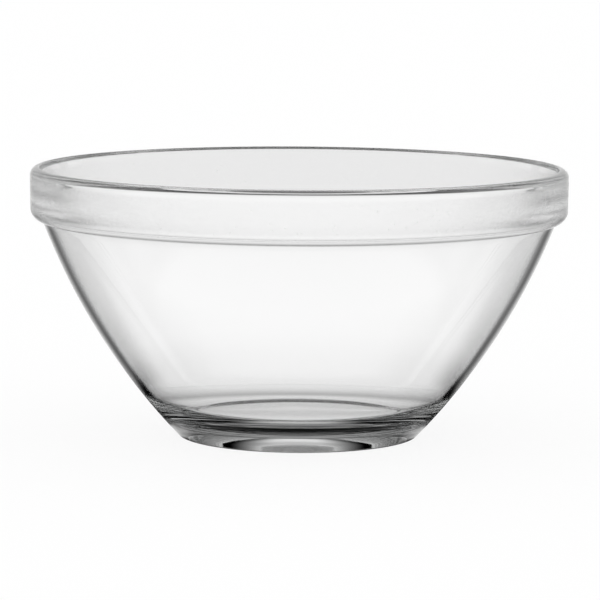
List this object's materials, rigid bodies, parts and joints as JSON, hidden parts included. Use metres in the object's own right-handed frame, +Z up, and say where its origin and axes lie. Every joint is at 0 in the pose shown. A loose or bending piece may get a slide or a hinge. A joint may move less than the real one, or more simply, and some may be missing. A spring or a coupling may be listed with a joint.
{
  "type": "stackable glass bowl",
  "caption": "Clear pressed-glass bowl with a curved flaring wall, a thick foot and a straight stacking band under a rounded lip, for mixing, serving and nesting.",
  "frame": {"origin": "centre of the bearing ring, in the plane of the surface that the bowl stands on", "axes": "+Z up along the bowl's axis of turning, out of its mouth; +X and +Y are any two level directions at right angles"},
  "size_m": [0.23, 0.23, 0.1156],
  "materials": {
    "glass": "clear, pressed, fire polished"
  },
  "bodies": {
    "root": {"bowl": "glass"}
  },
  "joints": []
}
